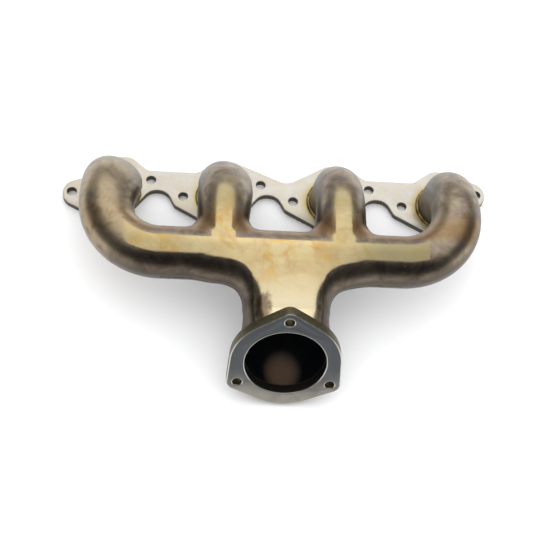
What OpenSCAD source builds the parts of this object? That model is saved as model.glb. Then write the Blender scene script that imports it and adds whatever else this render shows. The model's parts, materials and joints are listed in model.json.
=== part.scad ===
// Four-port exhaust manifold, fabricated from tube bends, pressed shells and flanges.
// The gasket face of the header flange lies on z = 0 and the tubes stand up from it along +Z.
// X runs along the ports, -Y points to the outlet, and the origin is the middle of the bolt pattern.

/* [Header flange] */
// Distance between neighbouring ports
port_spacing = 122.94; // [112:0.01:148]
// Thickness of the header flange
flange_t = 8; // [6:0.5:12]
// Distance of each bolt from its port, along the flange
bolt_dx = 43.2; // [40:0.1:52]
// Distance of each bolt above or below the middle line
bolt_dy = 10; // [6:0.5:14]
// Diameter of the header bolt holes
bolt_hole_d = 10.5; // [8:0.1:13]
// Distance of the port centres below the bolt middle line
port_drop = 9.5; // [4:0.5:12]
// Metal left outside each bolt hole centre
bolt_land = 12.5; // [10:0.5:16]
// Metal left above the port holes
port_land_top = 25; // [18:0.5:28]
// Metal left below the port holes
port_land_bottom = 10; // [8:0.5:14]

/* [Tubes] */
// Outside diameter of the runner tubes and the log
tube_od = 54; // [45:0.5:66]
// Wall of the tubes and of the pressed shells
tube_wall = 3; // [2:0.25:4]
// Straight stub between the flange and the first bend
stub_h = 4.5; // [4.5:0.5:10]
// Centreline radius of the bend that leaves the flange
bend_r = 62.5; // [52:0.5:75]
// Depth of the socket that each tube stands in
socket_d = 3; // [2:0.5:4]

/* [Collector] */
// Distance from the bolt middle line to the log axis
log_drop = 123; // [110:1:148]
// Width of the neck
neck_w = 88; // [76:1:105]
// Radius of the throat between log and neck, seen from above
throat_r = 30; // [20:1:40]
// Slope of the neck down from the log
neck_slope = 9; // [4:1:14]
// Length of the short collars that runners 2 and 3 are welded to
collar_l = 10; // [6:1:14]

/* [Outlet flange] */
// Bore of the outlet
outlet_bore_d = 82; // [68:1:98]
// Bolt circle of the outlet flange
outlet_pcd = 107.95; // [100:0.05:130]
// Diameter of the outlet bolt holes
outlet_hole_d = 9.5; // [7:0.1:11]
// Thickness of the outlet flange
outlet_t = 12.7; // [8:0.1:16]
// Outside radius of the outlet flange between its lobes
outlet_rim_r = 56; // [52:0.5:67]
// Radius of the lobe round each outlet bolt
outlet_lobe_r = 11; // [9:0.5:13]
// Tilt of the outlet face, up from square to the flange length
outlet_tilt = 21; // [12:1:26]
// Distance of the outlet face centre from the log axis
outlet_reach = 112; // [104:1:134]
// Sideways offset of the neck and outlet from the middle of the ports
outlet_offset = 5; // [0:0.5:8]

/* [Welds] */
// Leg of the fillet welds at the ports and the outlet
bead_leg = 3.5; // [2.5:0.5:4.5]
// Width of the butt welds between tube ends
butt_w = 2.5; // [2:0.25:4]
// Height of the butt welds above the tube
crown_h = 0.4; // [0:0.1:1]
// Radius of the beads that close the two shells
seam_r = 1.6; // [1:0.1:2]

/* [Hidden] */
$fn = 64;
SHELL_FN = 36;
FINE_FN = 180;
PARTING_LIFT = 0.2;                      // keeps the parting surface off the edges of the log's facets
THROAT_STEPS = 10;
EPS = 1;
FAR = 400;
STUB_END = 6;
EAR_R = 15.8;
EAR_TIP = 9.8;
PAD_RIM = 0.3;
LIP_RUN = 9.35;
LIP_DROP = 11.8;

tube_r = tube_od / 2;
bore_r = tube_r - tube_wall;
port_x = [for (i = [0:3]) (i - 1.5) * port_spacing];
log_z = flange_t + stub_h + bend_r;
turn_y = -(port_drop + bend_r);          // where the first bend is complete
turn_r = log_drop + turn_y;              // radius of the second bend of the end runners
log_left = port_x[0] + turn_r;           // ends of the end runners' second bends
log_right = port_x[3] - turn_r;
collar_y = -(log_drop - tube_r - collar_l);
neck_hw = neck_w / 2;
throat_x = neck_hw + throat_r;           // where the throat begins on the log
throat_y = tube_r + throat_r;            // where the throat ends on the neck
outlet_r = outlet_bore_d / 2;
outlet_z = outlet_rim_r * cos(outlet_tilt) + outlet_t * sin(outlet_tilt);

steel = "#d9d2c4";
mottled = "#8c7d62";
golden = "#d2ba80";
machined = "#7c7d78";
bead = "#a39a84";

// ---- helpers ----

// Points of an arc that rounds the corner b between a and c with radius b[2]
function unit(v) = v / norm(v);
function corner(a, b, c) =
    let (u = unit([a[0] - b[0], a[1] - b[1]]), v = unit([c[0] - b[0], c[1] - b[1]]))
    let (half = acos(u * v) / 2, reach = b[2] / tan(half), side = sign(u[0] * v[1] - u[1] * v[0]))
    let (mid = unit(u + v) * b[2] / sin(half), centre = [b[0], b[1]] + mid)
    let (start = [b[0], b[1]] + u * reach - centre, sweep = -side * (180 - 2 * half))
    let (steps = max(2, ceil(abs(sweep) / 9)))
    [for (k = [0:steps]) centre + turned(start, sweep * k / steps)];
function turned(p, a) = [p[0] * cos(a) - p[1] * sin(a), p[0] * sin(a) + p[1] * cos(a)];
function rounded(pts) =
    let (n = len(pts))
    [for (i = [0:n - 1]) each corner(pts[(i + n - 1) % n], pts[i], pts[(i + 1) % n])];

module at_port(i) translate([port_x[i], -port_drop, 0]) children();

// Frame of the neck: x = 0 on its middle line, y = 0 on the log axis, z = 0 on its mid-plane
module on_neck() translate([outlet_offset, -log_drop, log_z]) rotate([neck_slope, 0, 0]) children();

// Frame of the outlet: the face is z = 0 and +Z points out of it
module at_outlet() translate([outlet_offset, -log_drop - outlet_reach, outlet_z]) rotate([90 - outlet_tilt, 0, 0]) children();

module ring(r_out, r_in, h) {
    difference() {
        cylinder(r = r_out, h = h);
        translate([0, 0, -EPS]) cylinder(r = r_in, h = h + 2 * EPS);
    }
}

module bend(radius) {
    rotate_extrude(angle = 90) translate([radius, 0]) difference() {
        circle(r = tube_r);
        circle(r = bore_r);
    }
}

// ---- header flange ----

port_r = bore_r;
top_y = -port_drop + port_r + port_land_top;
bottom_y = -port_drop - port_r - port_land_bottom;
ear_x = bolt_dx + EAR_TIP;
land_y = bolt_dy + bolt_land;
pad_r = tube_r + bead_leg + PAD_RIM;     // flat metal needed round each port for its weld
arch_y = bolt_dy - 13;
arch_a = atan2(arch_y + port_drop, bolt_dx) + asin(pad_r / norm([bolt_dx, arch_y + port_drop]));
arch_foot = bolt_dx - (arch_y - bottom_y) / tan(arch_a);
lip_a = atan2(arch_y + bolt_dy + LIP_DROP, LIP_RUN);
arch_w = port_spacing - 2 * bolt_dx - 2 * LIP_RUN;
arch_r = 0.95 * arch_w / (tan(arch_a / 2) + tan(lip_a / 2));     // largest that the arch's top holds

// Lower edge between port a and port b: an arch that starts tangent to the pad of port a
// and ends in a lip under the next bolt
function arch(a, b) = [
    [a + arch_foot, bottom_y, 10],
    [a + bolt_dx, arch_y, arch_r],
    [b - bolt_dx - 2 * LIP_RUN, arch_y, arch_r],
    [b - bolt_dx - LIP_RUN, -bolt_dy - LIP_DROP, 8],
    [b - 15, bottom_y, 14]
];
// Upper edge between port b and port a: a flat land that carries two bolts
function land(b, a) = [
    [b - 6, top_y, 14],
    [b - 28, land_y, 12],
    [a + bolt_dx - 4.7, land_y, 12],
    [a + 20, top_y, 14]
];
valley_x = port_x[2] - 49.6;
flange_outline = concat(
    [[port_x[0] - 10, bottom_y, 14]],
    arch(port_x[0], port_x[1]),
    arch(port_x[1], port_x[2]),
    arch(port_x[2], port_x[3]),
    [
        [port_x[3] + 20, bottom_y, 12],
        [port_x[3] + pad_r + 4, -bolt_dy + 1, 12],
        [port_x[3] + ear_x, bolt_dy - 10.7, EAR_R],
        [port_x[3] + ear_x, bolt_dy + 11.1, EAR_R],
        [port_x[3] + 8, top_y, 14]
    ],
    land(port_x[3], port_x[2]),
    [
        [port_x[2] - 5, top_y, 14],
        [valley_x, bolt_dy + 1.8, 18],
        [port_x[1] + 13, top_y, 14]
    ],
    land(port_x[1], port_x[0]),
    [
        [port_x[0] - 12, top_y, 14],
        [port_x[0] - 30, bolt_dy - 1, 12],
        [port_x[0] - ear_x, -bolt_dy + 10.7, EAR_R],
        [port_x[0] - ear_x, -bolt_dy - 11.1, EAR_R]
    ]
);

module header_flange() {
    color(steel) difference() {
        linear_extrude(flange_t) polygon(rounded(flange_outline));
        for (i = [0:3]) {
            at_port(i) translate([0, 0, -EPS]) cylinder(r = port_r, h = flange_t + 2 * EPS);
            at_port(i) translate([0, 0, flange_t - socket_d]) cylinder(r = tube_r, h = socket_d + EPS);
            for (side = [-1, 1])
                translate([port_x[i] + side * bolt_dx, side * bolt_dy, -EPS])
                    cylinder(d = bolt_hole_d, h = flange_t + 2 * EPS);
        }
    }
}

// ---- runners ----

// Stub and first bend of a runner: up from its socket, then over towards -Y
module riser(i) {
    at_port(i) translate([0, 0, flange_t - socket_d]) ring(tube_r, bore_r, socket_d + stub_h);
    translate([port_x[i], turn_y, flange_t + stub_h]) rotate([90, 0, 90]) bend(bend_r);
}

// Runners 2 and 3 run straight on to the collars of the shells
module middle_runner(i) {
    color(mottled) union() {
        riser(i);
        translate([port_x[i], turn_y, log_z]) rotate([90, 0, 0])
            ring(tube_r, bore_r, turn_y - collar_y - butt_w);
    }
}

// Runners 1 and 4 turn a second time, into the line of the log
module end_runner(i) {
    side = i == 0 ? 1 : -1;
    color(mottled) union() {
        riser(i);
        translate([port_x[i] + side * turn_r, turn_y, log_z]) mirror([side < 0 ? 1 : 0, 0, 0])
            rotate([0, 0, 180]) bend(turn_r);
    }
}

module runner_1() end_runner(0);
module runner_2() middle_runner(1);
module runner_3() middle_runner(2);
module runner_4() end_runner(3);

// ---- collector shells ----

shell_left = log_left + butt_w;
shell_right = log_right - butt_w;

// Points along one throat arc on the edge of the collector's middle sheet
function throat_point(k) =
    let (a = 90 * k / THROAT_STEPS)
    [throat_x - throat_y * sin(a), throat_y * (cos(a) - 1)];

// Balls of radius r on both edges of the middle sheet at step k of the throat
module throat_balls(r, k) {
    p = throat_point(k);
    for (side = [-1, 1]) translate([side * p[0], p[1], 0]) sphere(r = r);
}

// The log spreads into the neck: the middle sheet thickened by r, slice by slice
module throat(r) {
    for (k = [0:THROAT_STEPS - 1]) hull() {
        throat_balls(r, k);
        throat_balls(r, k + 1);
    }
}

// Neck: from the flattened section at the end of the throat to the round end at the outlet
module neck(r, end_r) {
    hull() {
        on_neck() throat_balls(r, THROAT_STEPS);
        at_outlet() translate([0, 0, -outlet_t - STUB_END]) cylinder(r = end_r, h = EPS / 2);
    }
}

// Outer form of both shells together for r = tube_r, and their inside for r = bore_r
module collector_form(r, end_r, over) {
    translate([shell_left - over, -log_drop, log_z]) rotate([0, 90, 0])
        cylinder(r = r, h = shell_right - shell_left + 2 * over);
    for (i = [1, 2]) translate([port_x[i], collar_y + over, log_z]) rotate([90, 0, 0])
        cylinder(r = r, h = log_drop + collar_y + over);
    on_neck() throat(r);
    neck(r, end_r);
    at_outlet() translate([0, 0, -outlet_t - STUB_END]) cylinder(r = end_r, h = STUB_END + over);
}

module collector_wall($fn = SHELL_FN) {
    difference() {
        collector_form(tube_r, outlet_r + tube_wall, 0);
        collector_form(bore_r, outlet_r, EPS);
    }
}

// Everything in front of the parting surface, which bends down along the log axis
module front_side() {
    translate([-FAR, 0, PARTING_LIFT]) rotate([90, 0, 90]) linear_extrude(2 * FAR) polygon([
        [0, log_z],
        [-log_drop, log_z],
        [-log_drop - FAR * cos(neck_slope), log_z - FAR * sin(neck_slope)],
        [-log_drop - FAR, log_z + FAR],
        [0, log_z + FAR]
    ]);
}

module front_shell() {
    color(golden) intersection() {
        collector_wall();
        front_side();
    }
}

module back_shell() {
    color(golden) difference() {
        collector_wall();
        front_side();
    }
}

// ---- outlet flange ----

lobe_d = outlet_pcd / 2;
tangent = acos((outlet_rim_r - outlet_lobe_r) / lobe_d);

// Rim circle with a lobe at each bolt, joined by tangent lines
module outlet_outline() {
    circle(r = outlet_rim_r);
    for (a = [90, 210, 330]) rotate(a) {
        translate([lobe_d, 0]) circle(r = outlet_lobe_r);
        polygon([
            turned([outlet_rim_r, 0], -tangent),
            [lobe_d, 0] + turned([outlet_lobe_r, 0], -tangent),
            [lobe_d, 0] + turned([outlet_lobe_r, 0], tangent),
            turned([outlet_rim_r, 0], tangent)
        ]);
    }
}

module outlet_flange() {
    color(machined) at_outlet() difference() {
        translate([0, 0, -outlet_t]) linear_extrude(outlet_t) outlet_outline();
        translate([0, 0, -outlet_t - EPS]) cylinder(r = outlet_r, h = outlet_t + 2 * EPS);
        for (a = [90, 210, 330]) rotate(a) translate([lobe_d, 0, -outlet_t - EPS])
            cylinder(d = outlet_hole_d, h = outlet_t + 2 * EPS);
    }
}

// ---- welds ----

// Fillet bead round a tube of radius r that stands on z = 0
module fillet_bead(r) {
    rotate_extrude() polygon([[r, 0], [r + bead_leg, 0], [r, bead_leg]]);
}

module butt_bead() ring(tube_r + crown_h, bore_r, butt_w);

module port_weld(i) {
    color(bead) at_port(i) translate([0, 0, flange_t]) fillet_bead(tube_r);
}

module runner_weld(i) {
    color(bead) translate([port_x[i], collar_y + butt_w, log_z]) rotate([90, 0, 0]) butt_bead();
}

module elbow_weld(x) {
    color(bead) translate([x, -log_drop, log_z]) rotate([0, 90, 0]) butt_bead();
}

// Straight stretch of seam bead along X, on the log at angle a round its axis
module log_seam(x0, x1, a, $fn = FINE_FN) {
    translate([x0, -log_drop, log_z]) rotate([a, 0, 0]) difference() {
        translate([0, -tube_r, 0]) rotate([0, 90, 0]) cylinder(r = seam_r, h = x1 - x0);
        translate([-EPS, 0, 0]) rotate([0, 90, 0]) cylinder(r = tube_r, h = x1 - x0 + 2 * EPS);
    }
}

// Seam bead round one throat arc, in the parting plane
module throat_seam(side, $fn = FINE_FN) {
    on_neck() translate([side * throat_x, -throat_y, 0]) mirror([side > 0 ? 1 : 0, 0, 0])
        rotate_extrude(angle = 90) difference() {
            translate([throat_r, 0]) circle(r = seam_r);
            translate([throat_y, 0]) circle(r = tube_r);
        }
}

module lower_seam(side) {
    x0 = side < 0 ? shell_left : outlet_offset + throat_x;
    x1 = side < 0 ? outlet_offset - throat_x : shell_right;
    color(bead) union() {
        log_seam(x0, x1, neck_slope);
        throat_seam(side);
    }
}

module upper_seam(x0, x1) color(bead) log_seam(x0, x1, 180);

module port_weld_1() port_weld(0);
module port_weld_2() port_weld(1);
module port_weld_3() port_weld(2);
module port_weld_4() port_weld(3);
module runner_weld_2() runner_weld(1);
module runner_weld_3() runner_weld(2);
module elbow_weld_1() elbow_weld(log_left);
module elbow_weld_4() elbow_weld(shell_right);
module seam_weld_lower_left() lower_seam(-1);
module seam_weld_lower_right() lower_seam(1);
module seam_weld_upper_left() upper_seam(shell_left, port_x[1] - tube_r - seam_r);
module seam_weld_upper_middle() upper_seam(port_x[1] + tube_r + seam_r, port_x[2] - tube_r - seam_r);
module seam_weld_upper_right() upper_seam(port_x[2] + tube_r + seam_r, shell_right);

module outlet_weld() {
    color(bead) at_outlet() translate([0, 0, -outlet_t]) mirror([0, 0, 1]) fillet_bead(outlet_r + tube_wall);
}

header_flange();
runner_1();
runner_2();
runner_3();
runner_4();
front_shell();
back_shell();
outlet_flange();
port_weld_1();
port_weld_2();
port_weld_3();
port_weld_4();
runner_weld_2();
runner_weld_3();
elbow_weld_1();
elbow_weld_4();
seam_weld_lower_left();
seam_weld_lower_right();
seam_weld_upper_left();
seam_weld_upper_middle();
seam_weld_upper_right();
outlet_weld();
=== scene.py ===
import json
import math

import bmesh
import bpy
import numpy as np
from mathutils import Matrix, Vector


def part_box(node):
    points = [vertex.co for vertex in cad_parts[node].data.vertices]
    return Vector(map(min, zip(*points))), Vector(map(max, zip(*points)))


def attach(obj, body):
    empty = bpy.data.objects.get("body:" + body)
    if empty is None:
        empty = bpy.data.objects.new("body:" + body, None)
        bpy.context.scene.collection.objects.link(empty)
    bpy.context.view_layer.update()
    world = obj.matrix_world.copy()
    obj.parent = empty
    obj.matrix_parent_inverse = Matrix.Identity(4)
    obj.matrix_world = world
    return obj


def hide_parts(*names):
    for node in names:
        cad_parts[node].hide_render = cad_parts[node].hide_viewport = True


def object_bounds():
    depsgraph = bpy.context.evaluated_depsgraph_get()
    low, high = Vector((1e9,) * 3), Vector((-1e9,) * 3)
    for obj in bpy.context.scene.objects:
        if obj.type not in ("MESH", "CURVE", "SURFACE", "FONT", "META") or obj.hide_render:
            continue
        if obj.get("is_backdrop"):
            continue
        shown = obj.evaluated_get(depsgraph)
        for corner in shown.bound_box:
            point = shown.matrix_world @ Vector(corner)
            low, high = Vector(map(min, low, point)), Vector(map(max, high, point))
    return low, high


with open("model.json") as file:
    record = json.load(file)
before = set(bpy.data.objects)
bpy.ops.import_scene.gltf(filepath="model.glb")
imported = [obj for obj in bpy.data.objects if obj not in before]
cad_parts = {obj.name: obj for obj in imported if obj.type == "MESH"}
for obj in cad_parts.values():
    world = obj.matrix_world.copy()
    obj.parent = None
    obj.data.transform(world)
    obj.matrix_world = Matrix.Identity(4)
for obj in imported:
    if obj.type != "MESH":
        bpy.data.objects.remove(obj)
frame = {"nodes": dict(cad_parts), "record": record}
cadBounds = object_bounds()
mm = 0.001

# sizes and places read from the frame
mounts = {m["name"]: m for m in frame["record"]["mounts"]}
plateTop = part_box("header_flange")[1].z
tubeRadius = (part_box("runner_2")[1].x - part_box("runner_2")[0].x) / 2
portX = [mounts["port_%d" % n]["pos_m"][0] for n in (1, 2, 3, 4)]
portY = mounts["port_1"]["pos_m"][1]
bendStart = mounts["port_1"]["dims"]["length_mm"] * mm  # height at which a runner starts to bend
logY = (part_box("elbow_weld_1")[0].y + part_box("elbow_weld_1")[1].y) / 2
logZ = (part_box("elbow_weld_1")[0].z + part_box("elbow_weld_1")[1].z) / 2
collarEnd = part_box("runner_weld_2")[0].y
neckX = mounts["outlet_bore"]["pos_m"][0]
outletAxis = Vector(mounts["outlet_bolts"]["axis"]).normalized()
outletCentre = Vector(mounts["outlet_bolts"]["pos_m"])
outletDepth = mounts["outlet_bore"]["dims"]["length_mm"] * mm
outletBore = mounts["outlet_bore"]["dims"]["r_mm"] * mm
wall = 3 * mm
floorZ = cadBounds[0][2]


def fromHex(code):  # sRGB hex to the linear colour a shader wants
    parts = [int(code[k:k + 2], 16) / 255 for k in (1, 3, 5)]
    return [c / 12.92 if c <= 0.04045 else ((c + 0.055) / 1.055) ** 2.4 for c in parts] + [1.0]


def addNode(tree, kind, sockets=None, **settings):  # links sockets, sets plain values, hands back the outputs
    node = tree.nodes.new(kind)
    for name, value in settings.items():
        setattr(node, name, value)
    for name, value in (sockets or {}).items():
        if isinstance(value, bpy.types.NodeSocket):
            tree.links.new(value, node.inputs[name])
        elif isinstance(value, list):  # several sockets into one input
            for source in value:
                tree.links.new(source, node.inputs[name])
        elif isinstance(value, str):
            node.inputs[name].default_value = fromHex(value)
        else:
            node.inputs[name].default_value = value
    return node.outputs


def newObject(name, mesh):
    obj = bpy.data.objects.new(name, mesh)
    bpy.context.scene.collection.objects.link(obj)
    return obj


def meshFrom(name, points, faces=(), edges=()):
    mesh = bpy.data.meshes.new(name)
    mesh.from_pydata([tuple(p) for p in points], [tuple(e) for e in edges], [tuple(f) for f in faces])
    mesh.update()
    return mesh


def applyModifiers(obj):  # the evaluated shape becomes the plain mesh
    depsgraph = bpy.context.evaluated_depsgraph_get()
    done = bpy.data.meshes.new_from_object(obj.evaluated_get(depsgraph))
    done.name = obj.name
    obj.modifiers.clear()
    obj.data = done
    return obj


def smoothBy(obj, degrees):
    obj.data.shade_smooth()
    obj.data.set_sharp_from_angle(angle=math.radians(degrees))


def standsFor(obj, node):
    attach(obj, "root")
    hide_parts(node)
    return obj


# materials: every metal starts with its look's noise patterns on Object coordinates
# a pattern is its patch in mm, detail, roughness, distortion, shift, and streak stretch along X
def startMetal(name, look):
    material = bpy.data.materials.new(name)
    material.use_nodes = True
    tree = material.node_tree
    shader = tree.nodes["Principled BSDF"]
    shader.inputs["Metallic"].default_value = 1.0
    shader.inputs["Roughness"].default_value = look["roughness"]
    place = addNode(tree, "ShaderNodeTexCoord")["Object"]
    patterns = {}
    for key, (patchMm, detail, rough, distortion, shift, stretch) in look["patterns"].items():
        at = addNode(tree, "ShaderNodeMapping", {"Vector": place, "Location": (shift, shift * 0.7, -shift),
                                                 "Scale": (stretch, 1, 1)})[0]
        patterns[key] = addNode(tree, "ShaderNodeTexNoise", {
            "Vector": at, "Scale": 1000 / patchMm, "Detail": detail, "Roughness": rough,
            "Distortion": distortion})[0]
    return material, tree, shader, place, patterns


def finishMetal(tree, shader, colour, roughness, relief):  # relief: height, strength and depth in mm
    tree.links.new(colour, shader.inputs["Base Color"])
    if roughness is not None:
        tree.links.new(roughness, shader.inputs["Roughness"])
    surface = {}
    for height, strength, depthMm in relief:
        normal = addNode(tree, "ShaderNodeBump", {"Height": height, "Strength": strength,
                                                  "Distance": depthMm * mm, **surface})[0]
        surface = {"Normal": normal}
    tree.links.new(normal, shader.inputs["Normal"])


skinLook = {  # stainless, brown and violet with heat; tops and crests linished through to bright straw steel
    "olive": "#B0A38B", "umber": "#786858", "violet": "#837480", "grime": "#3A332D", "shade": "#26221F",
    "amber": "#8F6C42", "straw": "#C9B07C", "pale": "#DDCB9C", "gold": "#CFA650", "rose": "#B98E74",
    "burnt": "#6E543E", "tan": "#B3A183", "worn": "#928967", "bright": "#F0E2BE",
    "roughness": 0.37, "linished": 0.21, "lean": 9.0,
    "patterns": {"big": (26.0, 5, 0.65, 0.7, 0.0, 1), "mid": (26.0 / 2.2, 4, 0.6, 0.5, 0.9, 1),
                 "speck": (5.0, 4, 0.7, 0.0, 2.1, 1), "tint": (42.0, 4, 0.6, 0.5, 0.5, 1),
                 "hot": (42.0 * 0.7, 3, 0.6, 0.8, 1.7, 1), "grain": (0.6, 2, 0.5, 0.0, 0.0, 0.04)},
}


def heatedSteel(name, look, isTube):
    material, tree, shader, place, patterns = startMetal(name, look)
    big, mid, speck, tint, hot, grain = patterns.values()
    x, y, z = addNode(tree, "ShaderNodeSeparateXYZ", {0: place})
    inY = addNode(tree, "ShaderNodeMath", {0: y, 1: logY}, operation="SUBTRACT")[0]
    lean = math.radians(look["lean"])  # the linishing belt leaned forward with the neck
    normal = addNode(tree, "ShaderNodeNewGeometry")["Normal"]
    facing = addNode(tree, "ShaderNodeVectorMath", {0: normal, 1: (0, -math.sin(lean), math.cos(lean))},
                     operation="DOT_PRODUCT")["Value"]
    wider = addNode(tree, "ShaderNodeMapRange", {0: inY, 1: -26 * mm, 2: -62 * mm, 3: 0, 4: 0.17},
                    interpolation_type="SMOOTHSTEP")[0]
    edge = addNode(tree, "ShaderNodeMath", {0: facing, 1: wider}, operation="ADD")[0]
    edge = addNode(tree, "ShaderNodeMath", {0: mid, 1: 0.03, 2: edge}, operation="MULTIPLY_ADD")[0]
    mask = {}  # each fades from its low to its high value between two values of what it follows
    for key, source, start, end, low, high, step in (
            ("olive", big, 0.36, 0.62, 0, 1, "LINEAR"),
            ("violet", mid, 0.50, 0.70, 0, 0.65, "LINEAR"),
            ("speck", speck, 0.56, 0.78, 0, 0.5, "LINEAR"),
            ("weldNear", inY, 8 * mm, 20 * mm, 0, 1, "SMOOTHSTEP"),
            ("weldFar", inY, 52 * mm, 30 * mm, 0, 0.7, "SMOOTHSTEP"),
            # low: painted shade, darker as the skin faces further down
            ("low", facing, 0.84, 0.2, 0, 0.9, "SMOOTHSTEP"),
            ("ahead", inY, -2 * mm, -16 * mm, 0, 1, "SMOOTHSTEP"),
            ("flank", facing, 0.30, 0.72, 0, 0.62, "SMOOTHSTEP"),
            ("pale", tint, 0.35, 0.68, 0, 1, "LINEAR"),
            ("gold", hot, 0.50, 0.64, 0, 0.7, "LINEAR"),
            ("rose", mid, 0.50, 0.70, 0, 0.4, "LINEAR"),
            # bright: painted highlight on the linished top ahead of the log and down the neck
            ("bright", inY, -15 * mm, -65 * mm, 0, 0.85, "SMOOTHSTEP"),
            ("rightEnd", x, 25 * mm, 110 * mm, 0, 0.85, "SMOOTHSTEP"),
            ("leftEnd", x, -35 * mm, -105 * mm, 0, 0.35, "SMOOTHSTEP"),
            ("behind", inY, 24 * mm, 52 * mm, 0, 1, "SMOOTHSTEP"),
            ("crisp", edge, 0.940, 0.965, 0, 1, "SMOOTHSTEP"),
            ("soft", edge, 0.84, 1.0, 0, 1, "SMOOTHSTEP"),
            ("scuff", mid, 0.38, 0.56, 0.3, 1, "LINEAR"),
            ("metal", facing, 0.45, 0.0, 1, 0.25, "SMOOTHSTEP")):
        mask[key] = addNode(tree, "ShaderNodeMapRange", {0: source, 1: start, 2: end, 3: low, 4: high},
                            interpolation_type=step)[0]
    weld = addNode(tree, "ShaderNodeMath", {0: mask["weldNear"], 1: mask["weldFar"]}, operation="MULTIPLY")[0]
    # painted shade on the flanks ahead of the log
    front = addNode(tree, "ShaderNodeMath", {0: mask["ahead"], 1: mask["flank"]}, operation="MULTIPLY")[0]
    ends = addNode(tree, "ShaderNodeMath", {0: mask["rightEnd"], 1: mask["leftEnd"]}, operation="MAXIMUM")[0]
    crest = addNode(tree, "ShaderNodeMath", {0: mask["behind"], 1: 0.6}, operation="MULTIPLY")[0]
    dulled = addNode(tree, "ShaderNodeMath", {0: ends, 1: crest}, operation="MAXIMUM")[0]
    oxideAndShade = look["umber"]  # left by bending and welding, orange-brown where the runners are welded in; painted shade on the undersides and on the flanks ahead of the log
    for share, colour in ((mask["olive"], "olive"), (mask["violet"], "violet"), (mask["speck"], "umber"),
                          (weld, "amber"), (mask["low"], "grime"), (front, "shade")):
        oxideAndShade = addNode(tree, "ShaderNodeMix", {0: share, 6: oxideAndShade, 7: look[colour]}, data_type="RGBA")[2]
    linishedWithHighlight = look["straw"]  # linished tops, duller towards the ends, and painted brighter on the neck as a highlight
    for share, colour in ((mask["pale"], "pale"), (mask["gold"], "gold"), (mask["rose"], "rose"),
                          (mask["bright"], "bright"), (dulled, "worn")):
        linishedWithHighlight = addNode(tree, "ShaderNodeMix", {0: share, 6: linishedWithHighlight, 7: look[colour]}, data_type="RGBA")[2]
    top = addNode(tree, "ShaderNodeMix", {0: mask["behind"], 2: mask["crisp"], 3: mask["soft"]},
                  data_type="FLOAT")[0]
    if isTube:  # the belt reached only part of a tube, and the end runners carry scuffs
        polish = addNode(tree, "ShaderNodeAttribute", attribute_name="polish")["Fac"]
        blotch = addNode(tree, "ShaderNodeAttribute", attribute_name="blotch")["Fac"]
        scuff = addNode(tree, "ShaderNodeMath", {0: blotch, 1: mask["scuff"]}, operation="MULTIPLY")[0]
        oxideAndShade = addNode(tree, "ShaderNodeMix", {0: scuff, 6: oxideAndShade, 7: look["tan"]}, data_type="RGBA")[2]
        ragged = addNode(tree, "ShaderNodeMath", {0: big, 1: 0.8, 2: -0.4}, operation="MULTIPLY_ADD")[0]
        worn = addNode(tree, "ShaderNodeMath", {0: polish, 1: ragged}, operation="ADD")[0]
        reached = addNode(tree, "ShaderNodeMapRange", {0: worn, 1: 0.3, 2: 0.7},
                          interpolation_type="SMOOTHSTEP")[0]
        top = addNode(tree, "ShaderNodeMath", {0: top, 1: reached}, operation="MULTIPLY")[0]
    else:  # brown heat stain beside the outlet weld
        stain = 0.0
        for source, centre, reach in ((x, neckX - 25 * mm, 9 * mm), (y, outletCentre.y + 45 * mm, 16 * mm)):
            away = addNode(tree, "ShaderNodeMath", {0: source, 1: centre}, operation="SUBTRACT")[0]
            away = addNode(tree, "ShaderNodeMath", {0: away, 1: reach}, operation="DIVIDE")[0]
            stain = addNode(tree, "ShaderNodeMath", {0: away, 1: away, 2: stain}, operation="MULTIPLY_ADD")[0]
        stain = addNode(tree, "ShaderNodeMath", {0: mid, 1: -2.6, 2: stain}, operation="MULTIPLY_ADD")[0]
        stain = addNode(tree, "ShaderNodeMapRange", {0: stain, 1: 0, 2: -1, 3: 0, 4: 0.8},
                        interpolation_type="SMOOTHSTEP")[0]
        linishedWithHighlight = addNode(tree, "ShaderNodeMix", {0: stain, 6: linishedWithHighlight, 7: look["burnt"]}, data_type="RGBA")[2]
    colour = addNode(tree, "ShaderNodeMix", {0: top, 6: oxideAndShade, 7: linishedWithHighlight}, data_type="RGBA")[2]
    rough = addNode(tree, "ShaderNodeMath", {0: speck, 1: 0.16, 2: look["roughness"] - 0.08},
                    operation="MULTIPLY_ADD")[0]
    fine = addNode(tree, "ShaderNodeMath", {0: tint, 1: 0.10, 2: look["linished"] - 0.11},
                   operation="MULTIPLY_ADD")[0]
    fine = addNode(tree, "ShaderNodeMath", {0: grain, 1: 0.12, 2: fine}, operation="MULTIPLY_ADD")[0]
    finish = addNode(tree, "ShaderNodeMix", {0: top, 2: rough, 3: fine}, data_type="FLOAT")[0]
    tree.links.new(mask["metal"], shader.inputs["Metallic"])  # the undersides, whose dark colour is painted shade, are nearly matt
    finishMetal(tree, shader, colour, finish, ((grain, 0.12, 0.05), (speck, 0.10, 0.12), (big, 0.2, 0.35)))
    return material


sootLook = {  # dry soot on the gas side: nearly black, with a brown painted glow of light low near the mouth
    "soot": "#03060D", "rust": "#17130F", "glow": "#6A5646", "roughness": 0.6,
    "patterns": {"fine": (3.0, 5, 0.7, 0.0, 0.0, 1)},
}


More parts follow.
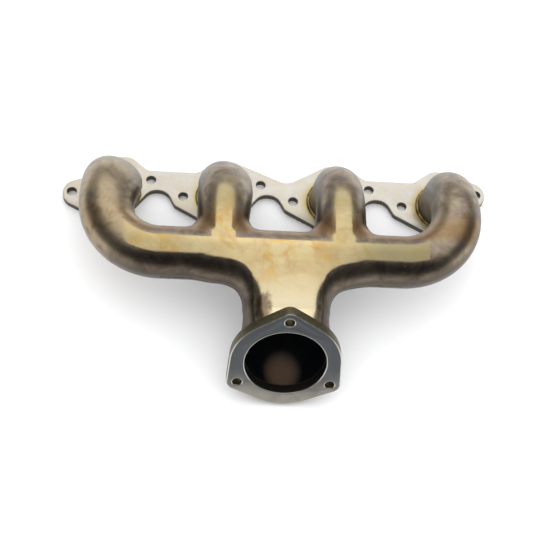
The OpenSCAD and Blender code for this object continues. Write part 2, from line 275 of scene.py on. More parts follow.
def sootMaterial(look):
    material, tree, shader, place, patterns = startMetal("sootedBore", look)
    shader.inputs["Metallic"].default_value = 0.1
    shader.inputs["Specular IOR Level"].default_value = 0.2
    x, y, z = addNode(tree, "ShaderNodeSeparateXYZ", {0: place})
    spread = 0.0
    for source, centre, reach in ((x, neckX, 22 * mm), (y, outletCentre.y + 12 * mm, 26 * mm)):
        away = addNode(tree, "ShaderNodeMath", {0: source, 1: centre}, operation="SUBTRACT")[0]
        away = addNode(tree, "ShaderNodeMath", {0: away, 1: reach}, operation="DIVIDE")[0]
        spread = addNode(tree, "ShaderNodeMath", {0: away, 1: away, 2: spread}, operation="MULTIPLY_ADD")[0]
    near = addNode(tree, "ShaderNodeMapRange", {0: spread, 1: 1, 2: 0}, interpolation_type="SMOOTHSTEP")[0]
    low = addNode(tree, "ShaderNodeMapRange", {0: z, 1: 34 * mm, 2: 16 * mm, 4: 0.8},
                  interpolation_type="SMOOTHSTEP")[0]
    # painted light: the lower wall near the outlet mouth glows brown where light falls in
    mouth = addNode(tree, "ShaderNodeMath", {0: near, 1: low}, operation="MULTIPLY")[0]
    flakes = addNode(tree, "ShaderNodeMapRange", {0: patterns["fine"], 1: 0.5, 2: 0.8, 4: 0.6})[0]
    colour = look["soot"]
    for share, tone in ((flakes, "rust"), (mouth, "glow")):
        colour = addNode(tree, "ShaderNodeMix", {0: share, 6: colour, 7: look[tone]}, data_type="RGBA")[2]
    finishMetal(tree, shader, colour, None, ((patterns["fine"], 0.3, 0.3),))
    return material


plateLook = {  # laser-cut mild steel plate, belt-ground to a satin face, straw tint near the welds
    "steel": "#E0DCD4", "warm": "#DDD4C0", "straw": "#DCC98C", "dull": "#B5B0A6", "edge": "#5A564C",
    "roughness": 0.42, "anisotropic": 0.3,
    "patterns": {"big": (24, 4, 0.6, 0.3, 0.0, 1), "fine": (3, 4, 0.65, 0.0, 0.4, 1),
                 "grain": (0.6, 2, 0.5, 0.0, 0.0, 0.06)},
}


def plateMaterial(look):
    material, tree, shader, place, patterns = startMetal("satinGroundSteelPlate", look)
    shader.inputs["Anisotropic"].default_value = look["anisotropic"]
    big, fine, grain = patterns.values()
    nearest = 1.0
    for x in portX:
        level = addNode(tree, "ShaderNodeVectorMath", {0: place, 1: (1, 1, 0)}, operation="MULTIPLY")[0]
        distance = addNode(tree, "ShaderNodeVectorMath", {0: level, 1: (x, portY, 0)},
                           operation="DISTANCE")["Value"]
        nearest = addNode(tree, "ShaderNodeMath", {0: distance, 1: nearest}, operation="MINIMUM")[0]
    reach = addNode(tree, "ShaderNodeMath", {0: fine, 1: 5 * mm, 2: nearest}, operation="MULTIPLY_ADD")[0]
    normal = addNode(tree, "ShaderNodeNewGeometry")["True Normal"]
    facing = addNode(tree, "ShaderNodeSeparateXYZ", {0: normal})["Z"]
    facing = addNode(tree, "ShaderNodeMath", {0: facing}, operation="ABSOLUTE")[0]
    colour = look["steel"]
    for source, start, end, high, step, tone in (  # straw where welds heated it, laser scale and painted shade on the cut edges and hole walls
            (big, 0.35, 0.65, 1, "LINEAR", "warm"),
            (fine, 0.55, 0.8, 0.35, "LINEAR", "dull"),
            (reach, tubeRadius + 12 * mm, tubeRadius + 4 * mm, 0.8, "SMOOTHSTEP", "straw"),
            (facing, 0.35, 0.05, 1, "SMOOTHSTEP", "edge")):
        share = addNode(tree, "ShaderNodeMapRange", {0: source, 1: start, 2: end, 4: high},
                        interpolation_type=step)[0]
        colour = addNode(tree, "ShaderNodeMix", {0: share, 6: colour, 7: look[tone]}, data_type="RGBA")[2]
    rough = addNode(tree, "ShaderNodeMath", {0: grain, 1: 0.12, 2: look["roughness"] - 0.08},
                    operation="MULTIPLY_ADD")[0]
    rough = addNode(tree, "ShaderNodeMath", {0: big, 1: 0.1, 2: rough}, operation="MULTIPLY_ADD")[0]
    finishMetal(tree, shader, colour, rough, ((grain, 0.15, 0.05), (fine, 0.1, 0.1)))
    return material


outletLook = {  # turned and faced mild steel: grey lathe face paler low down as a painted floor reflection, bright chamfer, brown oiled rim, sooted bore with painted light low inside
    "face": "#55585B", "pale": "#9C988E", "rim": "#5F5846", "oil": "#7A7256", "chamfer": "#CFCBC0",
    "stain": "#57564F", "soot": "#04070E", "glow": "#171412", "turnMm": 0.5, "roughness": 0.40,
    "patterns": {"big": (22, 4, 0.6, 0.4, 0.0, 1), "fine": (2.5, 4, 0.7, 0.0, 0.6, 1)},
}


def outletMaterial(look):
    material, tree, shader, place, patterns = startMetal("latheFacedSteel", look)
    big, fine = patterns.values()
    x, y, z = addNode(tree, "ShaderNodeSeparateXYZ", {0: place})
    away = addNode(tree, "ShaderNodeVectorMath", {0: place, 1: tuple(outletCentre)}, operation="SUBTRACT")[0]
    spread = addNode(tree, "ShaderNodeVectorMath", {0: away}, operation="LENGTH")["Value"]
    rings = addNode(tree, "ShaderNodeMath", {0: spread, 1: 2 * math.pi / (look["turnMm"] * mm)},
                    operation="MULTIPLY")[0]
    rings = addNode(tree, "ShaderNodeMath", {0: rings}, operation="SINE")[0]
    outward = addNode(tree, "ShaderNodeVectorMath", {0: away, 1: tuple(outletAxis)},
                      operation="CROSS_PRODUCT")[0]
    fromAxis = addNode(tree, "ShaderNodeVectorMath", {0: outward}, operation="LENGTH")["Value"]
    height = addNode(tree, "ShaderNodeMath", {0: big, 1: 20 * mm, 2: z}, operation="MULTIPLY_ADD")[0]
    normal = addNode(tree, "ShaderNodeNewGeometry")["True Normal"]
    turned = addNode(tree, "ShaderNodeVectorMath", {0: normal, 1: tuple(outletAxis)},
                     operation="DOT_PRODUCT")["Value"]
    turned = addNode(tree, "ShaderNodeMath", {0: turned}, operation="ABSOLUTE")[0]
    mask = {}
    for key, source, start, end, high, step in (
            # low: painted floor reflection, the face paler nearer the floor
            ("low", height, 62 * mm, 14 * mm, 1, "SMOOTHSTEP"),
            ("cloud", big, 0.5, 0.75, 0.5, "LINEAR"),
            ("speck", fine, 0.58, 0.8, 0.4, "LINEAR"),
            ("oil", fine, 0.4, 0.7, 1, "LINEAR"),
            ("rim", turned, 0.3, 0.1, 1, "SMOOTHSTEP"),
            ("offRim", turned, 0.2, 0.4, 1, "SMOOTHSTEP"),
            ("offFace", turned, 0.995, 0.95, 1, "SMOOTHSTEP"),
            ("inner", fromAxis, outletBore + 1.2 * mm, outletBore + 0.6 * mm, 1, "SMOOTHSTEP"),
            # glow: painted light on the soot low in the bore
            ("glow", z, 40 * mm, 18 * mm, 1, "SMOOTHSTEP")):
        mask[key] = addNode(tree, "ShaderNodeMapRange", {0: source, 1: start, 2: end, 4: high},
                            interpolation_type=step)[0]
    chamfer = addNode(tree, "ShaderNodeMath", {0: mask["offRim"], 1: mask["offFace"]},
                      operation="MULTIPLY")[0]
    bore = addNode(tree, "ShaderNodeMath", {0: mask["rim"], 1: mask["inner"]}, operation="MULTIPLY")[0]
    rim = addNode(tree, "ShaderNodeMix", {0: mask["oil"], 6: look["rim"], 7: look["oil"]},
                  data_type="RGBA")[2]
    soot = addNode(tree, "ShaderNodeMix", {0: mask["glow"], 6: look["soot"], 7: look["glow"]},
                   data_type="RGBA")[2]
    colour = look["face"]
    for share, tone in ((mask["low"], look["pale"]), (mask["cloud"], look["stain"]),
                        (mask["speck"], look["stain"]), (mask["rim"], rim),
                        (chamfer, look["chamfer"]), (bore, soot)):
        colour = addNode(tree, "ShaderNodeMix", {0: share, 6: colour, 7: tone}, data_type="RGBA")[2]
    metallic = addNode(tree, "ShaderNodeMath", {0: bore, 1: -0.8, 2: 1.0}, operation="MULTIPLY_ADD")[0]
    tree.links.new(metallic, shader.inputs["Metallic"])
    rough = addNode(tree, "ShaderNodeMath", {0: chamfer, 1: -0.15, 2: look["roughness"]},
                    operation="MULTIPLY_ADD")[0]
    rough = addNode(tree, "ShaderNodeMath", {0: fine, 1: 0.12, 2: rough}, operation="MULTIPLY_ADD")[0]
    finishMetal(tree, shader, colour, rough, ((rings, 0.10, 0.02), (fine, 0.12, 0.08)))
    return material


beadPatterns = {"big": (12, 3, 0.6, 0.0, 0.0, 1), "fine": (1.5, 3, 0.6, 0.0, 1.1, 1)}
beadLook = {  # fresh TIG bead, straw to brown
    "straw": "#C2AE72", "brown": "#7A6038", "blue": "#6E7078", "roughness": 0.30, "patterns": beadPatterns}
seamLook = {  # older bead, brown all over
    "straw": "#7A6A52", "brown": "#4C4034", "blue": "#5A5860", "roughness": 0.42, "patterns": beadPatterns}


def beadMaterial(name, look):
    material, tree, shader, place, patterns = startMetal(name, look)
    big, fine = patterns.values()
    colour = look["straw"]
    for source, start, end, high, tone in ((big, 0.35, 0.65, 1, "brown"), (fine, 0.55, 0.8, 0.5, "blue")):
        share = addNode(tree, "ShaderNodeMapRange", {0: source, 1: start, 2: end, 4: high})[0]
        colour = addNode(tree, "ShaderNodeMix", {0: share, 6: colour, 7: look[tone]}, data_type="RGBA")[2]
    finishMetal(tree, shader, colour, None, ((fine, 0.2, 0.1),))
    return material


shellFinish = heatedSteel("linishedStainlessPressing", skinLook, False)
tubeFinish = heatedSteel("heatTintedStainlessTube", skinLook, True)
sootFinish = sootMaterial(sootLook)
plateFinish = plateMaterial(plateLook)
outletFinish = outletMaterial(outletLook)
beadFinish = beadMaterial("asWeldedTigBead", beadLook)
seamFinish = beadMaterial("oxidisedSeamBead", seamLook)
print("materials ready")


def addInputs(tree, kinds):  # the tree's named inputs, then its one output
    for name, kind in kinds:
        tree.interface.new_socket(name, in_out="INPUT", socket_type="NodeSocket" + kind)
    tree.interface.new_socket("Geometry", in_out="OUTPUT", socket_type="NodeSocketGeometry")
    return addNode(tree, "NodeGroupInput")


def sweepTree():  # a tube of given radius swept along a line
    tree = bpy.data.node_groups.new("tubeSweep", "GeometryNodeTree")
    into = addInputs(tree, (("Geometry", "Geometry"), ("Radius", "Float"), ("Spacing", "Float"),
                            ("Sides", "Int"), ("Finish", "Material")))
    line = addNode(tree, "GeometryNodeMeshToCurve", {"Mesh": into["Geometry"]})[0]
    even = addNode(tree, "GeometryNodeResampleCurve", {"Curve": line, "Length": into["Spacing"]},
                   mode="LENGTH")[0]
    ring = addNode(tree, "GeometryNodeCurvePrimitiveCircle", {"Resolution": into["Sides"],
                                                              "Radius": into["Radius"]})[0]
    swept = addNode(tree, "GeometryNodeCurveToMesh", {
        "Curve": even, "Profile Curve": ring, "Fill Caps": False})[0]
    real = addNode(tree, "GeometryNodeRealizeInstances", {"Geometry": swept})[0]
    done = addNode(tree, "GeometryNodeSetMaterial", {"Geometry": real, "Material": into["Finish"]})[0]
    addNode(tree, "NodeGroupOutput", {0: done})
    return tree


def runTree(obj, tree, values):  # inputs set by socket identifier, and the result kept as a mesh
    modifier = obj.modifiers.new(tree.name, "NODES")
    modifier.node_group = tree
    for item in tree.interface.items_tree:
        if item.item_type == "SOCKET" and item.in_out == "INPUT" and item.name in values:
            modifier[item.identifier] = values[item.name]
    return applyModifiers(obj)


def addWall(obj):  # steel inwards from the outer skin, with soot on the inside
    shell = obj.modifiers.new("wall", "SOLIDIFY")
    shell.thickness = wall
    shell.offset = -1.0
    shell.use_rim = True
    shell.material_offset = 1
    return shell


runnerLook = {
    "sides": 96, "spacingMm": 1.6, "stepMm": 1.0, "socketMm": 2.8,
    "endBendMm": 60.0, "leadMm": 9.0, "endXMm": 123.4,  # second bend of the end runners, and where they stop
    "swellMm": ((8.0, 0.0), (4.0, 0.0), (0.0, 3.0), (0.0, 4.0)),  # wider towards +X and -X at each port
    "scuffs": {1: ((1.0, -4, 16, 62, 34), (0.8, 22, 16, 95, 16)), 4: ((0.3, -16, 14, 80, 24),)},
}
tubeSweep = sweepTree()


def bendPath(x, side, look):  # up from its port, over, and for an end runner round into the log
    step = look["stepMm"] * mm
    radius = logZ - bendStart
    point = np.array([x, portY, plateTop - look["socketMm"] * mm])
    points = [point]
    turn, lift = 0.0, 0.0
    arrived = False
    while not arrived:
        if point[2] >= bendStart or lift > 0:
            lift = min(math.pi / 2, lift + step / radius)
        if side and point[1] <= portY - radius + look["leadMm"] * mm:
            turn = min(math.pi / 2, turn + step / (look["endBendMm"] * mm))
        level = math.sin(lift)
        way = np.array([level * math.sin(turn) * side, -level * math.cos(turn), math.cos(lift)])
        point = point + way * step
        points.append(point)
        arrived = abs(point[0]) <= look["endXMm"] * mm if side else point[1] <= collarEnd + 0.5 * mm
    path = np.array(points)
    target = np.array([path[-1][0], logY if side else collarEnd, logZ])
    share = np.clip((path[:, 2] - bendStart) / radius, 0, 1)[:, None]
    return path + (target - path[-1]) * share * np.array([0, 1, 1])  # closes the last fraction of a step


def swell(points, number):  # the port ends were swaged to the ports, which pushed the tubes out on one side
    right, left = runnerLook["swellMm"][number - 1]
    aside = np.clip((points[:, 0] - portX[number - 1]) / tubeRadius, -1, 1)
    near = np.clip((points[:, 1] + 85 * mm) / (40 * mm), 0, 1)
    above = np.clip((points[:, 2] - plateTop) / (20 * mm), 0, 1)
    wider = right * np.maximum(aside, 0) ** 2 + left * np.maximum(-aside, 0) ** 2
    points[:, 0] += wider * near * (0.45 + 0.55 * above) * mm
    return points


def makeRunner(number, look):
    x = portX[number - 1]
    side = {1: 1, 4: -1}.get(number, 0)
    path = bendPath(x, side, look)
    edges = [(k, k + 1) for k in range(len(path) - 1)]
    obj = newObject("runnerTube%d" % number, meshFrom("path", path, edges=edges))
    runTree(obj, tubeSweep, {"Radius": tubeRadius, "Spacing": look["spacingMm"] * mm, "Sides": look["sides"],
                             "Finish": tubeFinish})
    mesh = obj.data
    mesh.materials.clear()
    mesh.materials.append(tubeFinish)
    mesh.materials.append(sootFinish)
    points = swell(np.array([v.co for v in mesh.vertices]), number)
    mesh.vertices.foreach_set("co", points.ravel())
    away = portY - points[:, 1]
    if side == 0:  # rubbed bright where the crest runs level into the log
        polish = np.clip((away - 22 * mm) / (30 * mm), 0, 1.2)
    elif side == 1:  # rubbed on the inside of the bend only
        polish = np.clip((points[:, 0] - (x + 14 * mm)) / (22 * mm), 0, 1.2)
    else:  # rubbed up to where the belt stopped
        polish = np.where(points[:, 0] < 148.7 * mm, 1.2, 0.0)
    blotch = np.zeros(len(points))
    for strength, middle, reach, distance, length in look["scuffs"].get(number, ()):  # places and sizes in mm
        aside = (points[:, 0] - (x + middle * mm)) / (reach * mm)
        along = (away - distance * mm) / (length * mm)
        blotch += strength * np.exp(-(aside ** 2 + along ** 2) / 2)
    for name, values in (("polish", polish), ("blotch", np.clip(blotch, 0, 1))):
        mesh.attributes.new(name, "FLOAT", "POINT").data.foreach_set("value", values.astype(np.float32))
    bm = bmesh.new()
    bm.from_mesh(mesh)
    bmesh.ops.remove_doubles(bm, verts=bm.verts, dist=1e-6)
    bmesh.ops.recalc_face_normals(bm, faces=bm.faces)
    probe = next(iter(bm.faces))
    middle = np.array(probe.calc_center_median())
    nearest = path[np.argmin(np.linalg.norm(path - middle, axis=1))]
    if (middle - nearest) @ np.array(probe.normal) < 0:  # an open tube can come out inside out
        bmesh.ops.reverse_faces(bm, faces=bm.faces)
    bm.to_mesh(mesh)
    bm.free()
    addWall(obj)
    applyModifiers(obj)
    smoothBy(obj, 40)
    return standsFor(obj, "runner_%d" % number)


for n in (1, 2, 3, 4):
    makeRunner(n, runnerLook)
print("runner tubes swept")


# log, neck and collars share one skin, parted into a front and a back pressing
collectorLook = {
    "gridMm": 1.6, "fillet": 19.0, "neckHalf": 44.0, "throat": 30.0, "slope": 9.0,
    "leftEnd": -123.0, "rightEnd": 123.0, "spigot": 6.0,
}


def collectorField(look):  # signed distance to the outer skin of the collector, in metres
    r = tubeRadius
    slope = math.radians(look["slope"])
    half = look["neckHalf"] * mm
    throatX, throatY = half + look["throat"] * mm, r + look["throat"] * mm
    sheetEnd = half - r
    spigotR = outletBore + wall
    axis = np.array(outletAxis)
    endPoint = np.array(outletCentre) - axis * (outletDepth + look["spigot"] * mm)
    start = np.array([neckX, logY - throatY * math.cos(slope), logZ - throatY * math.sin(slope)])
    length = np.linalg.norm(endPoint - start)
    chord = (endPoint - start) / length
    rise = np.array([0, -chord[2], chord[1]]) * np.sign(chord[1])
    fall = math.atan2(start[2] - endPoint[2], start[1] - endPoint[1])
    leave = math.tan(fall - slope)  # slopes of the neck's middle line at the log and at the outlet
    arrive = math.tan(fall - math.atan2(outletAxis.z, -outletAxis.y))

    def field(p):
        x, y, z = p[:, 0], p[:, 1] - logY, p[:, 2] - logZ
        log = np.hypot(y, z) - r
        # the sheet between log and neck leans down with the neck
        u = np.abs(x - neckX)
        v = y * math.cos(slope) + z * math.sin(slope)
        w = -y * math.sin(slope) + z * math.cos(slope)
        inThroat = (u < throatX) & (v > -throatY)
        across = np.where(inThroat, throatY - np.hypot(u - throatX, v + throatY), u - sheetEnd)
        across = np.where(u >= throatX, np.abs(v), np.maximum(across, v))
        sheet = np.hypot(np.maximum(across, 0), w) - r
        rounded = np.hypot(np.hypot(np.maximum(u - sheetEnd, 0), v + throatY), w) - r
        sheet = np.where(v < -throatY, rounded, sheet)
        # the neck opens into the round spigot behind the outlet flange
        s = ((p - start) @ chord) / length
        t = np.clip(s, 0, 1)
        bow = length * ((t ** 3 - 2 * t ** 2 + t) * leave + (t ** 3 - t ** 2) * arrive)
        widening = r + (spigotR - r) * (0.5 * t + 0.5 * t * t * (3 - 2 * t))
        sideways = np.maximum(u - sheetEnd * (1 - t), 0)
        lift = (p - start) @ rise - bow
        neck = np.sqrt(sideways ** 2 + lift ** 2 + ((s - t) * length) ** 2) - widening
        q = p - endPoint
        h = q @ axis
        spigot = np.linalg.norm(q - axis * h[:, None], axis=1) - spigotR
        spigot = np.where(h < 0, np.linalg.norm(q, axis=1) - spigotR, spigot)
        body = np.minimum(np.minimum(log, sheet), np.minimum(neck, spigot))
        for px in portX[1:3]:  # collars, filleted except where both crests run level
            beyond = np.sqrt((x - px) ** 2 + y ** 2 + z ** 2)
            collar = np.where(y > 0, np.hypot(x - px, z), beyond) - r
            levelLog = np.clip(z / np.maximum(np.hypot(z, y), 1e-6), -1, 1)
            levelCollar = np.clip(z / np.maximum(np.hypot(z, x - px), 1e-6), -1, 1)
            level = np.clip(levelLog * levelCollar, 0, 1)
            k = np.maximum(look["fillet"] * mm * (1 - level), 1e-5)
            overlap = np.maximum(k - np.abs(body - collar), 0) / k
            body = np.minimum(body, collar) - overlap ** 2 * k / 4
        return body
    return field


def surfaceNet(field, low, high, step):  # quads through the cells that the surface crosses
    axes = [np.arange(low[k], high[k] + step, step) for k in range(3)]
    grid = np.stack(np.meshgrid(*axes, indexing="ij"), -1)
    shape = grid.shape[:3]
    values = field(grid.reshape(-1, 3)).reshape(shape)
    inside = values < 0
    cells = tuple(n - 1 for n in shape)
    total, count = np.zeros(cells + (3,)), np.zeros(cells)
    crossings = []
    for axis in range(3):
        a = [slice(None)] * 3
        b = [slice(None)] * 3
        a[axis], b[axis] = slice(0, -1), slice(1, None)
        a, b = tuple(a), tuple(b)
        cross = inside[a] != inside[b]
        t = np.where(cross, values[a] / np.where(cross, values[a] - values[b], 1), 0)
        where = grid[a].copy()
        where[..., axis] += t * step
        where *= cross[..., None]
        first, second = [k for k in range(3) if k != axis]
        for i in (0, 1):
            for j in (0, 1):
                s = [slice(None)] * 3
                s[first] = slice(i, i + cells[first])
                s[second] = slice(j, j + cells[second])
                total += where[tuple(s)]
                count += cross[tuple(s)]
        crossings.append((axis, cross, inside[a]))
    used = count > 0
    index = -np.ones(cells, int)
    index[used] = np.arange(used.sum())
    points = total[used] / count[used][:, None]
    quads = []
    for axis, cross, inner in crossings:
        b, c = [k for k in range(3) if k != axis]
        at = np.stack(np.nonzero(cross), 1)
        keep = (at[:, b] > 0) & (at[:, c] > 0) & (at[:, b] < cells[b]) & (at[:, c] < cells[c])
        at, first = at[keep], inner[cross][keep]
        corner = []
        for db, dc in ((-1, -1), (0, -1), (0, 0), (-1, 0)):
            q = at.copy()
            q[:, b] += db
            q[:, c] += dc
            corner.append(index[q[:, 0], q[:, 1], q[:, 2]])
        quad = np.stack(corner, 1)
        flip = first if axis != 1 else ~first
        quad[~flip] = quad[~flip][:, ::-1]
        quads.append(quad)
    return points, np.concatenate(quads)


def slopeOf(field, points):  # the way the distance grows at each point
    reach = 0.05 * mm
    steps = np.eye(3) * reach
    return np.stack([(field(points + way) - field(points - way)) / (2 * reach) for way in steps], 1)


def settle(field, points, rounds):  # moves each point onto the exact surface
    for _ in range(rounds):
        value = field(points)
        slope = slopeOf(field, points)
        size = np.maximum((slope ** 2).sum(1), 0.05)
        points = points - slope * (value / size)[:, None]
    return points


def cutAlong(bm, place, normal, away):  # away removes what lies beyond the plane
    geometry = bm.verts[:] + bm.edges[:] + bm.faces[:]
    bmesh.ops.bisect_plane(bm, geom=geometry, dist=1e-6, plane_co=place, plane_no=normal, clear_outer=away)


def makeCollector(look):
    field = collectorField(look)
    low = np.array([look["leftEnd"] - 4, -245.0, 3.0]) * mm
    high = np.array([look["rightEnd"] + 4, collarEnd / mm + 4, logZ / mm + 36]) * mm
    points, quads = surfaceNet(field, low, high, look["gridMm"] * mm)
    bm = bmesh.new()
    bm.from_mesh(meshFrom("collector", settle(field, points, 4), quads))
    bmesh.ops.recalc_face_normals(bm, faces=bm.faces)
    cutAlong(bm, (look["leftEnd"] * mm, 0, 0), (-1, 0, 0), True)
    cutAlong(bm, (look["rightEnd"] * mm, 0, 0), (1, 0, 0), True)
    cutAlong(bm, (0, collarEnd, 0), (0, 1, 0), True)
    cutAlong(bm, outletCentre - outletAxis * (outletDepth - 0.4 * mm), outletAxis, True)
    slope = math.radians(look["slope"])
    line = Vector((0, logY, logZ))
    leaning = Vector((0, -math.sin(slope), math.cos(slope)))
    for normal in (Vector((0, 0, 1)), leaning):  # level behind the log's axis and leaning ahead of it
        cutAlong(bm, line, normal, False)
    topmost = max(bm.faces, key=lambda f: f.calc_center_median().z)
    if topmost.normal.z < 0:
        bmesh.ops.reverse_faces(bm, faces=bm.faces)
    pieces = []
    for name, node, front in (("collectorFront", "front_shell", True),
                              ("collectorBack", "back_shell", False)):
        part = bm.copy()
        away = []
        for f in part.faces:
            c = f.calc_center_median() - line
            ahead = (c.z if c.y > 0 else c.dot(leaning)) > 0
            if ahead != front:
                away.append(f)
        bmesh.ops.delete(part, geom=away, context="FACES")
        mesh = bpy.data.meshes.new(name)
        part.to_mesh(mesh)
        part.free()
        obj = newObject(name, mesh)
        mesh.materials.append(shellFinish)
        mesh.materials.append(sootFinish)
        addWall(obj).material_offset_rim = 0
        applyModifiers(obj)
        smoothBy(obj, 50)
        pieces.append(standsFor(obj, node))
    bm.free()
    return pieces


shells = makeCollector(collectorLook)
print("collector pressed, %d faces" % sum(len(s.data.polygons) for s in shells))


flangeLook = {"header_flange": 0.7, "outlet_flange": 1.1, "sharpest": 50, "segments": 3}  # edge radii in mm


def softEdged(node, name, finish, look):  # merged copy of a CAD solid, corners rounded over
    mesh = frame["nodes"][node].data.copy()
    obj = newObject(name, mesh)
    mesh.materials.clear()
    mesh.materials.append(finish)
    bm = bmesh.new()
    bm.from_mesh(mesh)
    bmesh.ops.remove_doubles(bm, verts=bm.verts, dist=1e-6)
    bmesh.ops.dissolve_limit(bm, angle_limit=math.radians(0.4), verts=bm.verts, edges=bm.edges)
    for f in bm.faces:
        f.material_index = 0
    bm.to_mesh(mesh)
    bm.free()
    edge = obj.modifiers.new("edge", "BEVEL")
    edge.width = look[node] * mm
    edge.segments = look["segments"]
    edge.limit_method = "ANGLE"
    edge.angle_limit = math.radians(look["sharpest"])
    edge.use_clamp_overlap = False
    edge.miter_outer = "MITER_ARC"
    applyModifiers(obj)
    smoothBy(obj, 30)
    return standsFor(obj, node)


softEdged("header_flange", "headerPlate", plateFinish, flangeLook)
softEdged("outlet_flange", "outletPlate", outletFinish, flangeLook)
print("flanges edged")


def beadTree():  # a swept bead with one overlapping ripple per torch dip
    tree = bpy.data.node_groups.new("weldBead", "GeometryNodeTree")
    into = addInputs(tree, (("Geometry", "Geometry"), ("Bead Radius", "Float"), ("Ripple Pitch", "Float"),
                            ("Ripple Length", "Float"), ("Ripple Height", "Float"), ("Wander", "Float"),
                            ("Seed", "Int"), ("Finish", "Material")))
    line = addNode(tree, "GeometryNodeMeshToCurve", {"Mesh": into["Geometry"]})[0]
    ring = addNode(tree, "GeometryNodeCurvePrimitiveCircle", {
        "Resolution": 12, "Radius": into["Bead Radius"]})[0]
    core = addNode(tree, "GeometryNodeCurveToMesh", {
        "Curve": line, "Profile Curve": ring, "Fill Caps": True})[0]
    dips = addNode(tree, "GeometryNodeCurveToPoints", {"Curve": line, "Length": into["Ripple Pitch"]},
                   mode="LENGTH")
    ball = addNode(tree, "GeometryNodeMeshUVSphere", {"Segments": 10, "Rings": 6, "Radius": 1.0})[0]
    vary = addNode(tree, "FunctionNodeRandomValue", {2: 0.9, 3: 1.1, "Seed": into["Seed"]},
                   data_type="FLOAT")[1]
    width = addNode(tree, "ShaderNodeMath", {0: into["Bead Radius"], 1: vary}, operation="MULTIPLY")[0]
    proud = addNode(tree, "ShaderNodeMath", {0: width, 1: into["Ripple Height"]}, operation="ADD")[0]
    size = addNode(tree, "ShaderNodeCombineXYZ", {"X": proud, "Y": proud, "Z": into["Ripple Length"]})[0]
    shift = addNode(tree, "FunctionNodeRandomValue", {0: (-1, -1, -1), 1: (1, 1, 1), "Seed": into["Seed"]},
                    data_type="FLOAT_VECTOR")[0]
    moved = addNode(tree, "ShaderNodeVectorMath", {0: shift, "Scale": into["Wander"]}, operation="SCALE")[0]
    offset = addNode(tree, "GeometryNodeSetPosition", {"Geometry": dips["Points"], "Offset": moved})[0]
    ripples = addNode(tree, "GeometryNodeInstanceOnPoints", {
        "Points": offset, "Instance": ball, "Rotation": dips["Rotation"], "Scale": size})[0]
    both = addNode(tree, "GeometryNodeJoinGeometry", {0: [core, ripples]})[0]
    real = addNode(tree, "GeometryNodeRealizeInstances", {"Geometry": both})[0]
    done = addNode(tree, "GeometryNodeSetMaterial", {"Geometry": real, "Material": into["Finish"]})[0]
    addNode(tree, "NodeGroupOutput", {0: done})
    return tree


weldBead = beadTree()
weldLook = {  # radius and pitch in mm, and finish, of each kind of bead
    "fillet": (2.2, 2.4, beadFinish), "butt": (1.4, 2.0, shellFinish), "seam": (1.3, 2.0, seamFinish),
    "ripple": 0.08, "wander": 0.06, "seamSink": 0.8625, "flush": 1.38, "share": 0.75, "seamGap": 6.0,
}


def makeBead(name, node, path, kind, seed):
    radiusMm, pitchMm, finish = weldLook[kind]
    count = len(path)
    edges = [(k, k + 1) for k in range(count - 1)]
    if kind != "seam":  # round beads close on themselves
        edges.append((count - 1, 0))
    obj = newObject(name, meshFrom(name, path, edges=edges))
    runTree(obj, weldBead, {
        "Bead Radius": radiusMm * mm, "Ripple Pitch": pitchMm * mm,
        "Ripple Length": pitchMm * weldLook["share"] * mm, "Ripple Height": weldLook["ripple"] * mm,
        "Wander": weldLook["wander"] * mm, "Seed": seed, "Finish": finish})
    obj.data.materials.clear()
    obj.data.materials.append(finish)
    smoothBy(obj, 60)
    return standsFor(obj, node)


def circlePath(centre, axis, radius, count=160):
    across = Vector(axis).orthogonal().normalized()
    other = Vector(axis).cross(across).normalized()
    turns = [2 * math.pi * k / count for k in range(count)]
    return [Vector(centre) + radius * (math.cos(a) * across + math.sin(a) * other) for a in turns]


def onSkin(points):  # a bead's line on the pressings' skin, sunk a little below it
    points = settle(skin, np.array([tuple(p) for p in points]), 6)
    slope = slopeOf(skin, points)
    slope /= np.linalg.norm(slope, axis=1)[:, None]
    return points - slope * weldLook["seamSink"] * mm


def lowerSeam(side, look):  # along the log, round the throat and down the neck to the outlet flange
    slope = math.radians(look["slope"])
    throat = look["throat"] * mm
    throatX, throatY = look["neckHalf"] * mm + throat, tubeRadius + throat
    endX = (look["rightEnd"] if side > 0 else look["leftEnd"]) * mm
    turns = [math.pi / 2 * k / 40 for k in range(41)]
    flat = [(endX + (neckX + side * throatX - endX) * k / 40, -tubeRadius) for k in range(40)]
    flat += [(neckX + side * (throatX - throat * math.sin(a)), throat * math.cos(a) - throatY) for a in turns]
    flat += [(flat[-1][0], flat[-1][1] - k * mm) for k in range(1, 26)]
    points = [(x, logY + v * math.cos(slope), logZ + v * math.sin(slope)) for x, v in flat]
    limit = Vector(outletCentre - outletAxis * (outletDepth + 3 * mm))
    return onSkin([p for p in points if (Vector(p) - limit).dot(outletAxis) < 0])


def upperSeam(x0, x1):  # along the far side of the log
    return onSkin([(x0 + (x1 - x0) * k / 40, logY + tubeRadius, logZ) for k in range(41)])


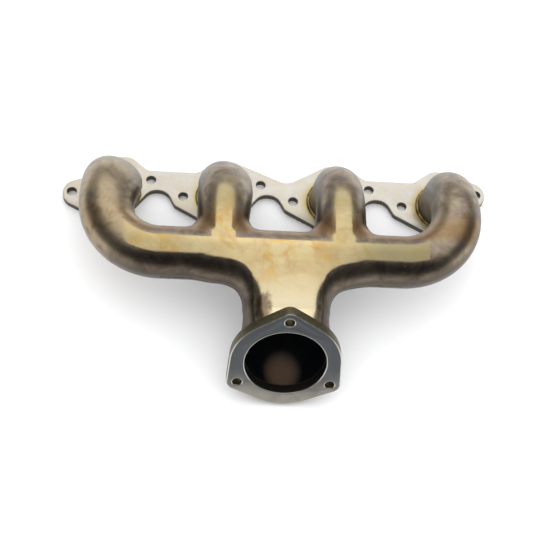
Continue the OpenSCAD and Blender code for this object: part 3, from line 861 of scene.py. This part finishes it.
skin = collectorField(collectorLook)
leftX, rightX = collectorLook["leftEnd"] * mm, collectorLook["rightEnd"] * mm
buttRadius = tubeRadius - weldLook["flush"] * mm
gap = tubeRadius + weldLook["seamGap"] * mm
for n in (1, 2, 3, 4):
    path = circlePath((portX[n - 1], portY, plateTop + 0.4 * mm), (0, 0, 1), tubeRadius + 0.5 * mm)
    path = swell(np.array([tuple(p) for p in path]), n)
    makeBead("portWeld%d" % n, "port_weld_%d" % n, path, "fillet", n)
for n in (2, 3):
    path = circlePath((portX[n - 1], collarEnd, logZ), (0, 1, 0), buttRadius)
    makeBead("runnerWeld%d" % n, "runner_weld_%d" % n, path, "butt", 10 + n)
for n, x in ((1, leftX), (4, rightX)):
    path = circlePath((x, logY, logZ), (1, 0, 0), buttRadius)
    makeBead("elbowWeld%d" % n, "elbow_weld_%d" % n, path, "butt", 20 + n)
makeBead("seamWeldLowerLeft", "seam_weld_lower_left", lowerSeam(-1, collectorLook), "seam", 31)
makeBead("seamWeldLowerRight", "seam_weld_lower_right", lowerSeam(1, collectorLook), "seam", 32)
for seed, place, x0, x1 in ((40, "Left", leftX, portX[1] - gap),
                            (41, "Middle", portX[1] + gap, portX[2] - gap),
                            (42, "Right", portX[2] + gap, rightX)):
    makeBead("seamWeldUpper" + place, "seam_weld_upper_" + place.lower(), upperSeam(x0, x1), "seam", seed)
behindFlange = outletCentre - outletAxis * (outletDepth + 0.3 * mm)
path = circlePath(behindFlange, outletAxis, outletBore + wall + 0.4 * mm, 220)
makeBead("outletWeld", "outlet_weld", path, "fillet", 50)
print("welds laid")


stageLook = {
    "floor": "#F2F3F4", "mottle": "#F5F5F6", "mottleMm": 60, "sizeM": 9.0,
    "lightHeight": 2.4, "lightStrength": 0.97, "roomLight": 1.10, "wallDark": 0.02, "wallPale": 0.45,
}


def paperMaterial(look):  # matt white studio paper
    material = bpy.data.materials.new("mattStudioPaper")
    material.use_nodes = True
    tree = material.node_tree
    shader = tree.nodes["Principled BSDF"]
    shader.inputs["Roughness"].default_value = 0.9
    shader.inputs["Specular IOR Level"].default_value = 0.1
    place = addNode(tree, "ShaderNodeTexCoord")["Object"]
    mottle = addNode(tree, "ShaderNodeTexNoise", {
        "Vector": place, "Scale": 1000 / look["mottleMm"], "Detail": 3.0, "Roughness": 0.5})[0]
    colour = addNode(tree, "ShaderNodeMix", {0: mottle, 6: look["floor"], 7: look["mottle"]},
                     data_type="RGBA")[2]
    tree.links.new(colour, shader.inputs["Base Color"])
    return material


half = stageLook["sizeM"] / 2
corners = [(-half, -half, floorZ), (half, -half, floorZ), (half, half, floorZ), (-half, half, floorZ)]
floor = newObject("studioFloor", meshFrom("studioFloor", corners, [(0, 1, 2, 3)]))
floor.data.materials.append(paperMaterial(stageLook))
floor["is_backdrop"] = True

height = stageLook["lightHeight"]  # the softbox keeps its angle when its height is changed
softbox = bpy.data.lights.new("overheadSoftbox", "AREA")
softbox.shape = "RECTANGLE"
softbox.size, softbox.size_y = 1.80 * height, 2.26 * height
softbox.energy = stageLook["lightStrength"] * math.pi * softbox.size * softbox.size_y  # in watts
overhead = newObject("overheadSoftbox", softbox)
overhead.location = (0.21 * height, 0.60 * height + logY, height)

world = bpy.data.worlds.new("studioRoom")
bpy.context.scene.world = world
world.use_nodes = True
room = world.node_tree
room.nodes.clear()
toward = addNode(room, "ShaderNodeTexCoord")["Generated"]
depth = addNode(room, "ShaderNodeSeparateXYZ", {"Vector": toward})["Y"]
backWall = addNode(room, "ShaderNodeMapRange", {  # dark in front, a pale wall behind
    0: depth, 1: 0.1, 2: 0.95, 3: stageLook["wallDark"], 4: stageLook["wallPale"]},
    interpolation_type="SMOOTHSTEP")[0]
mirrored = addNode(room, "ShaderNodeLightPath")["Is Glossy Ray"]
strength = addNode(room, "ShaderNodeMix", {0: mirrored, 2: stageLook["roomLight"], 3: backWall},
                   data_type="FLOAT")[0]
glow = addNode(room, "ShaderNodeBackground", {"Color": (1, 1, 1, 1), "Strength": strength})[0]
addNode(room, "ShaderNodeOutputWorld", {"Surface": glow})

camera = newObject("camera", bpy.data.cameras.new("camera"))
camera.data.lens, camera.data.sensor_width = 78.545, 36.0
camera.data.clip_start, camera.data.clip_end = 0.05, 30
right = Vector((0.996715, 0.002257, 0.080962))
up = Vector((-0.042060, 0.868677, 0.493589))
back = Vector((-0.069216, -0.495373, 0.865918))
turned = Matrix((right, up, back)).transposed().to_4x4()
camera.matrix_world = Matrix.Translation((-0.091498, -0.747684, 1.129830)) @ turned
bpy.context.scene.camera = camera
bpy.context.scene.view_settings.view_transform = "Standard"

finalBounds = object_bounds()
for label, box in (("cad box", cadBounds), ("visual box", finalBounds)):
    print(label, [[round(v, 4) for v in c] for c in box])
